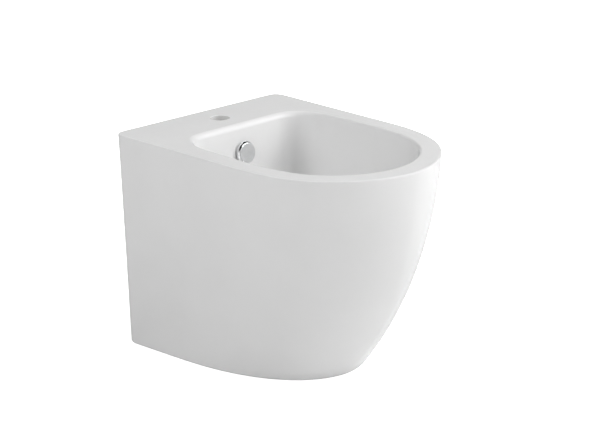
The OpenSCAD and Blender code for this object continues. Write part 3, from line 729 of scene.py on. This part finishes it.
cap = {
    "radius": 20.2,
    "gap": 1.6,                        # from the basin's wall to the band's edge
    "top": 8.4,
    "slope": ((16.3, 16), (17.4, 28), (17.65, 42), (19.6, 54), (19.95, 66)),   # radius and degrees of fall
    "edgeRound": 0.4,
    "edgeStep": 0.1,                   # from the slope's foot down to the edge
    "bandWall": 1.2,
    "faceThickness": 1.4,
    "faceCentre": 4.0,                 # radius of the last ring of points on the face
    "innerBevel": 2.0,
    "stemRadius": 2.0,
    "stemEnd": -8.0,
}
cover = {
    "radius": 31.0,
    "level": 247.3,                    # underside, above the floor
    "thickness": 1.2,
    "dome": 3.2,
    "skirt": 1.8,
    "skirtWidth": 3.5,
    "bevel": 1.0,
    "edgeRound": 0.4,
    "boreRadius": 2.05,
    "boreDepth": 2.0,
}
lathe = {
    # Points of each stretch of a profile, and columns round a piece
    "hem": 9,
    "slope": 33,
    "capEdge": 6,
    "coverEdge": 7,
    "dome": 24,
    "domeEnd": 0.97,                   # share of a right angle, so that the last ring isn't a point
    "around": 192,
    "creaseAngle": 12,                 # degrees between faces at which the shading breaks
}


def capProfile():
    # Outside the flat face the slope grows with the radius, and the height is the sum of its tangents
    edgeRound, radius, bevel = cap["edgeRound"], cap["radius"], cap["innerBevel"]
    inner, under = radius - cap["bandWall"], cap["top"] - cap["faceThickness"]
    half = np.linspace(0, np.pi, lathe["hem"])
    hem = np.stack([radius - cap["bandWall"] / 2 - cap["bandWall"] / 2 * np.cos(half),
                    cap["gap"] + edgeRound * (1 - np.sin(half))], -1)
    slopeRadius, slopeAngle = np.array(cap["slope"]).T
    r = np.linspace(slopeRadius[0], slopeRadius[-1], lathe["slope"])
    fall = np.tan(np.radians(np.interp((r[1:] + r[:-1]) / 2, slopeRadius, slopeAngle))) * np.diff(r)
    h = cap["top"] - np.concatenate([[0.0], np.cumsum(fall)])
    a = np.radians(np.linspace(90, slopeAngle[-1], lathe["capEdge"])[:-1])
    spread = (radius - r[-1]) / (1 - np.sin(a[-1]))
    edge = np.stack([radius - spread * (1 - np.sin(a)),
                     h[-1] - edgeRound * (np.cos(a[-1]) - np.cos(a)) - cap["edgeStep"]], -1)
    stem = [(cap["stemRadius"], cap["stemEnd"]), (cap["stemRadius"], under), (inner - bevel, under),
            (inner, under - bevel)]
    return np.concatenate([stem, hem, edge, np.stack([r, h], -1)[::-1], [(cap["faceCentre"], cap["top"])]])


def coverProfile():
    # The dome rises by 1 - (r / R)^2
    radius, level, edgeRound = cover["radius"], cover["level"], cover["edgeRound"]
    low, rimTop = level - cover["skirt"], level + cover["thickness"]
    a = np.linspace(0, np.pi / 2, lathe["coverEdge"])
    edge = np.stack([radius - edgeRound * (1 - np.cos(a)), rimTop - edgeRound * (1 - np.sin(a))], -1)
    r = np.cos(np.linspace(0, lathe["domeEnd"], lathe["dome"])[1:] * np.pi / 2) * edge[-1, 0]
    dome = np.stack([r, rimTop + cover["dome"] * (1 - (r / edge[-1, 0]) ** 2)], -1)
    under = [(cover["boreRadius"], level + cover["boreDepth"]), (cover["boreRadius"], level),
             (radius - cover["skirtWidth"] - cover["bevel"], level), (radius - cover["skirtWidth"], low),
             (radius - cover["bevel"], low), (radius, low + cover["bevel"])]
    return np.concatenate([under, edge, dome])


plate = [finishes["chrome"]]
capPiece = turned("cap_turned", capProfile(), overflowPoint, overflowAxis, plate, lathe["around"])
coverPiece = turned("cover_turned", coverProfile(), (0, wasteY, 0), (0, 0, 1), plate, lathe["around"])
for piece, bodyName, node in ((capPiece, "bidet", "overflow_cap"), (coverPiece, "cover", "waste_cover")):
    shadeByAngle(piece, lathe["creaseAngle"])
    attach(piece, bodyName)
    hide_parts(node)
print("chrome pieces turned")


# Every other piece keeps its shape and gets its finish

nodeFinish = {
    "chrome": ["waste_body"],
    "brass": ["waste_back_nut", "cover_stem"],
    "steel": ["latch_spring", "floor_brackets", "bracket_screws", "bracket_washers"],
    "rubber": ["cover_seal", "waste_top_gasket", "waste_lower_gasket", "trap_inlet_seal", "trap_head_seal",
               "trap_cup_seal", "outlet_seal"],
    "clear_rubber": ["overflow_gasket"],
    "white_plastic": ["overflow_sleeve", "latch_housing", "waste_slip_washer", "trap_inlet_nut",
                      "trap_dip_tube", "trap_head_nut", "trap_head", "trap_cup", "outlet_nut", "outlet_pipe"],
    "nylon": ["bracket_bushes"],
}
for slot, names in nodeFinish.items():
    for name in names:
        node = frame["nodes"][name]
        node.data.materials.clear()
        node.data.materials.append(finishes[slot])
print("finishes given to", sum(map(len, nodeFinish.values())), "pieces")


# Floor, lights and camera

studio = {
    "floorRadius": 30.0,               # metres
    "floorBelow": 0.05,                # millimetres from the foot down to the floor
    "floorGlow": 0.8,                  # near the bidet, so that its shadow shows
    "floorGlowFar": 1.0,
    "glowRise": (1.0, 4.0),            # metres from the middle
    "mirroredLevel": 0.5,              # of the white background, in mirrors and glass
    "mirroredFloor": 0.1,              # of the floor's glow, in mirrors and glass
    "cardLevel": 1.0,
    "aimHeight": 0.25,                 # metres above the floor, where every lamp points
}
screens = {
    # name: distance in metres, then angles in degrees: from and to where round the bidet, counted from the
    # front towards the right, the low edge's height on the left and on the right, where its fall starts and
    # ends, and the top edge's height
    "blackFlag": (4.6, (-60, 120), (32, 13), (50, 95), 76),
    "whiteCard": (4.2, (2, 72), (2, 2), (50, 95), 28),
    "rearCard": (4.4, (150, 255), (22, 22), (50, 95), 76),
}


def paleFloor(rows=12, columns=96, first=0.001):
    # A level grid of rings: every point is at radius r and angle a round the origin, and r grows as a square
    r, a = np.meshgrid(np.linspace(first, 1, rows) ** 2 * studio["floorRadius"] / mm,
                       np.linspace(0, 2 * np.pi, columns, endpoint=False), indexing="ij")
    points = np.stack([r * np.cos(a), r * np.sin(a), 0 * r - studio["floorBelow"]], -1)
    return linkMesh("floor", points, gridFaces(*r.shape, False).tolist())


def seenRays(tree, mirroredShare):
    # 1 for rays from the camera, a share of that for mirror and glass rays, else 0
    path = addNode(tree, "ShaderNodeLightPath").outputs
    mirrored = addNode(tree, "ShaderNodeMath", {"operation": "MAXIMUM"},
                       {0: path["Is Glossy Ray"], 1: path["Is Transmission Ray"]})
    dimmed = addNode(tree, "ShaderNodeMath", {"operation": "MULTIPLY", 1: mirroredShare},
                     {0: mirrored.outputs[0]})
    return addNode(tree, "ShaderNodeMath", {"operation": "MAXIMUM"},
                   {0: dimmed.outputs[0], 1: path["Is Camera Ray"]}).outputs[0]


white = fromHex("#FFFFFF")
floor = paleFloor()
floorMaterial, floorTree, floorShader, floorPlace = newMaterial(
    "paleStudioFloor", {"Roughness": 0.9}, {"patch": 400, "between": ("#E9E9E9", "#ECECEC")})
fromMiddle = addNode(floorTree, "ShaderNodeVectorMath", {"operation": "LENGTH"}, {0: floorPlace})
glowAt = addNode(floorTree, "ShaderNodeMapRange",
                 {"interpolation_type": "SMOOTHSTEP",
                  "From Min": studio["glowRise"][0], "From Max": studio["glowRise"][1],
                  "To Min": studio["floorGlow"], "To Max": studio["floorGlowFar"]},
                 {"Value": fromMiddle.outputs["Value"]})
glow = addNode(floorTree, "ShaderNodeMath", {"operation": "MULTIPLY"},
               {0: seenRays(floorTree, studio["mirroredFloor"]), 1: glowAt.outputs["Result"]})
floorShader.inputs["Emission Color"].default_value = white
floorTree.links.new(glow.outputs[0], floorShader.inputs["Emission Strength"])
floor.data.materials.append(floorMaterial)
floor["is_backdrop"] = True


def direction(turn, rise):
    # The unit vector at turn radians from the front towards the right, and rise radians above the floor
    return np.stack([np.sin(turn) * np.cos(rise), -np.cos(turn) * np.cos(rise), np.sin(rise)], -1)


def screen(name, distance, turns, lowEdge, fall, topEdge, rows=17, columns=49):
    # Part of a sphere round the bidet: turn and rise are angles, and the low edge falls towards the right by
    # s^2 (3 - 2 s)
    turn = np.linspace(*turns, columns)
    share = np.clip((turn - fall[0]) / (fall[1] - fall[0]), 0, 1)
    low = mix(*lowEdge, share ** 2 * (3 - 2 * share))
    rise = np.radians(mix(low, topEdge, np.linspace(0, 1, rows)[:, None]))
    points = distance / mm * direction(np.radians(turn) + 0 * rise, rise)
    piece = linkMesh(name, points, gridFaces(rows, columns, False, False).tolist())
    # Only mirrors show it
    piece.visible_camera = piece.visible_diffuse = piece.visible_shadow = False
    piece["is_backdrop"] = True
    return piece


# The chrome's rounded edges show the black flag as a dark line, and the white cards as pale ones beside it.
# The cards' own colour is dark, so that they only glow.
darkCloth = {"patch": 500, "between": ("#1C1C1C", "#242424")}
flagMaterial = newMaterial("blackFlagCloth", {"Roughness": 0.9}, darkCloth)[0]
cardMaterial = newMaterial(
    "whiteCardPaper",
    {"Roughness": 0.9, "Emission Color": white, "Emission Strength": studio["cardLevel"]}, darkCloth)[0]
for name, material in (("blackFlag", flagMaterial), ("whiteCard", cardMaterial), ("rearCard", cardMaterial)):
    screen(name, *screens[name]).data.materials.append(material)

world = bpy.data.worlds.new("studio")
bpy.context.scene.world = world
world.use_nodes = True
skyTree = world.node_tree
skyTree.nodes.clear()
sky = addNode(skyTree, "ShaderNodeBackground", {"Color": white},
              {"Strength": seenRays(skyTree, studio["mirroredLevel"])})
addNode(skyTree, "ShaderNodeOutputWorld", links={"Surface": sky.outputs["Background"]})

lamps = {
    # name: where the light comes from, in degrees from the front towards the right and in degrees above the
    # floor, then distance, width and height in metres, power in watts, and whether mirrors show it
    "rightBox": (38, 24, 3.0, 3.4, 2.0, 50, False),
    "rightStrip": (40, 38, 3.0, 2.8, 1.0, 30, True),
    "rightHigh": (80, 45, 3.0, 1.5, 1.5, 36, False),
    "leftBox": (240, 45, 3.0, 1.5, 1.5, 35, False),
    "frontBox": (300, 24, 3.0, 2.4, 2.4, 33, False),
}
for name, (turn, rise, distance, wide, high, power, mirrored) in lamps.items():
    away = Vector(direction(np.radians(turn), np.radians(rise)))
    light = bpy.data.lights.new(name, "AREA")
    light.shape = "RECTANGLE"
    light.size, light.size_y, light.energy = wide, high, power
    lamp = bpy.data.objects.new(name, light)
    lamp.location = Vector((0, 0, studio["aimHeight"])) + away * distance
    lamp.rotation_euler = (-away).to_track_quat("-Z", "Y").to_euler()
    lamp.visible_glossy = mirrored
    bpy.context.scene.collection.objects.link(lamp)

shot = {
    "place": (-1.68914, -1.6678, 1.06807),
    "azimuth": 45.333,                 # degrees from +Y towards +X
    "drop": 18.876,                    # degrees below the horizon
    "lens": 90.46,
    "sensor": 36.0,
    "shift": (0.0005, -0.0012),        # of the picture's width, to the right and up
}
camera = bpy.data.objects.new("camera", bpy.data.cameras.new("camera"))
azimuth, drop = np.radians(shot["azimuth"]), np.radians(shot["drop"])
looking = Vector((np.sin(azimuth) * np.cos(drop), np.cos(azimuth) * np.cos(drop), -np.sin(drop)))
camera.location = shot["place"]
camera.rotation_euler = looking.to_track_quat("-Z", "Y").to_euler()
camera.data.lens = shot["lens"]
camera.data.sensor_width = shot["sensor"]
camera.data.shift_x, camera.data.shift_y = shot["shift"]
bpy.context.scene.collection.objects.link(camera)
bpy.context.scene.camera = camera
bpy.context.scene.view_settings.view_transform = "Standard"
print("studio ready")

low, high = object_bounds()
